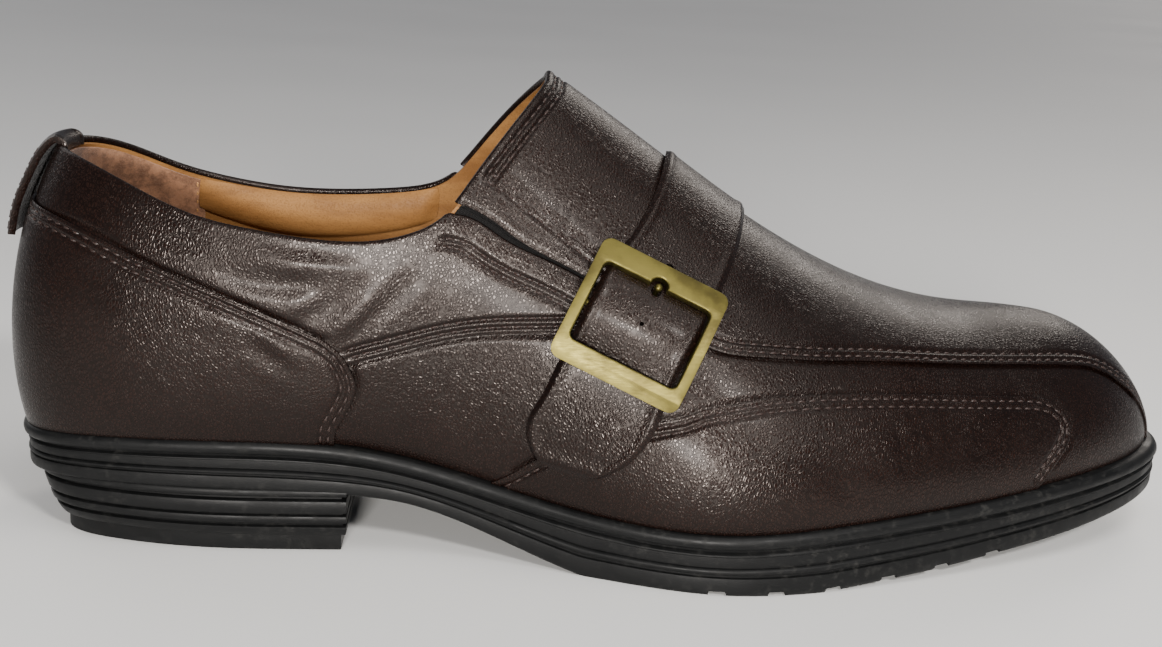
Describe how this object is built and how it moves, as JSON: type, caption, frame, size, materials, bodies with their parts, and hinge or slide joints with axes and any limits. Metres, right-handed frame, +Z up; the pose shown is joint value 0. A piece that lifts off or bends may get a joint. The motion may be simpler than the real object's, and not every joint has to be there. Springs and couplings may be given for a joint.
{
  "type": "strapped loafer",
  "caption": "Right slip-on loafer with an apron toe, elastic gores, an instep strap fastened by a square buckle, a heel counter, a pull tab and a ridged sole with a low heel.",
  "frame": {"origin": "on the floor, under the middle of the shoe's bounding box", "axes": "+X towards the toe, +Z up, the lateral (outer) side towards -Y"},
  "size_m": [0.3054, 0.1085, 0.1166],
  "materials": {
    "dark_brown_leather": "semi-gloss, fine pebbled grain",
    "black_rubber": "satin",
    "tan_lining": "matt",
    "black_elastic": "ribbed weave",
    "antique_brass": "worn satin"
  },
  "bodies": {
    "root": {"sole": "black_rubber", "insole": "tan_lining", "upper": "dark_brown_leather", "heel_counter": "dark_brown_leather", "gore_lateral": "black_elastic", "gore_medial": "black_elastic", "strap": "dark_brown_leather", "buckle": "antique_brass", "prong": "antique_brass", "pull_tab": "dark_brown_leather"}
  },
  "joints": []
}
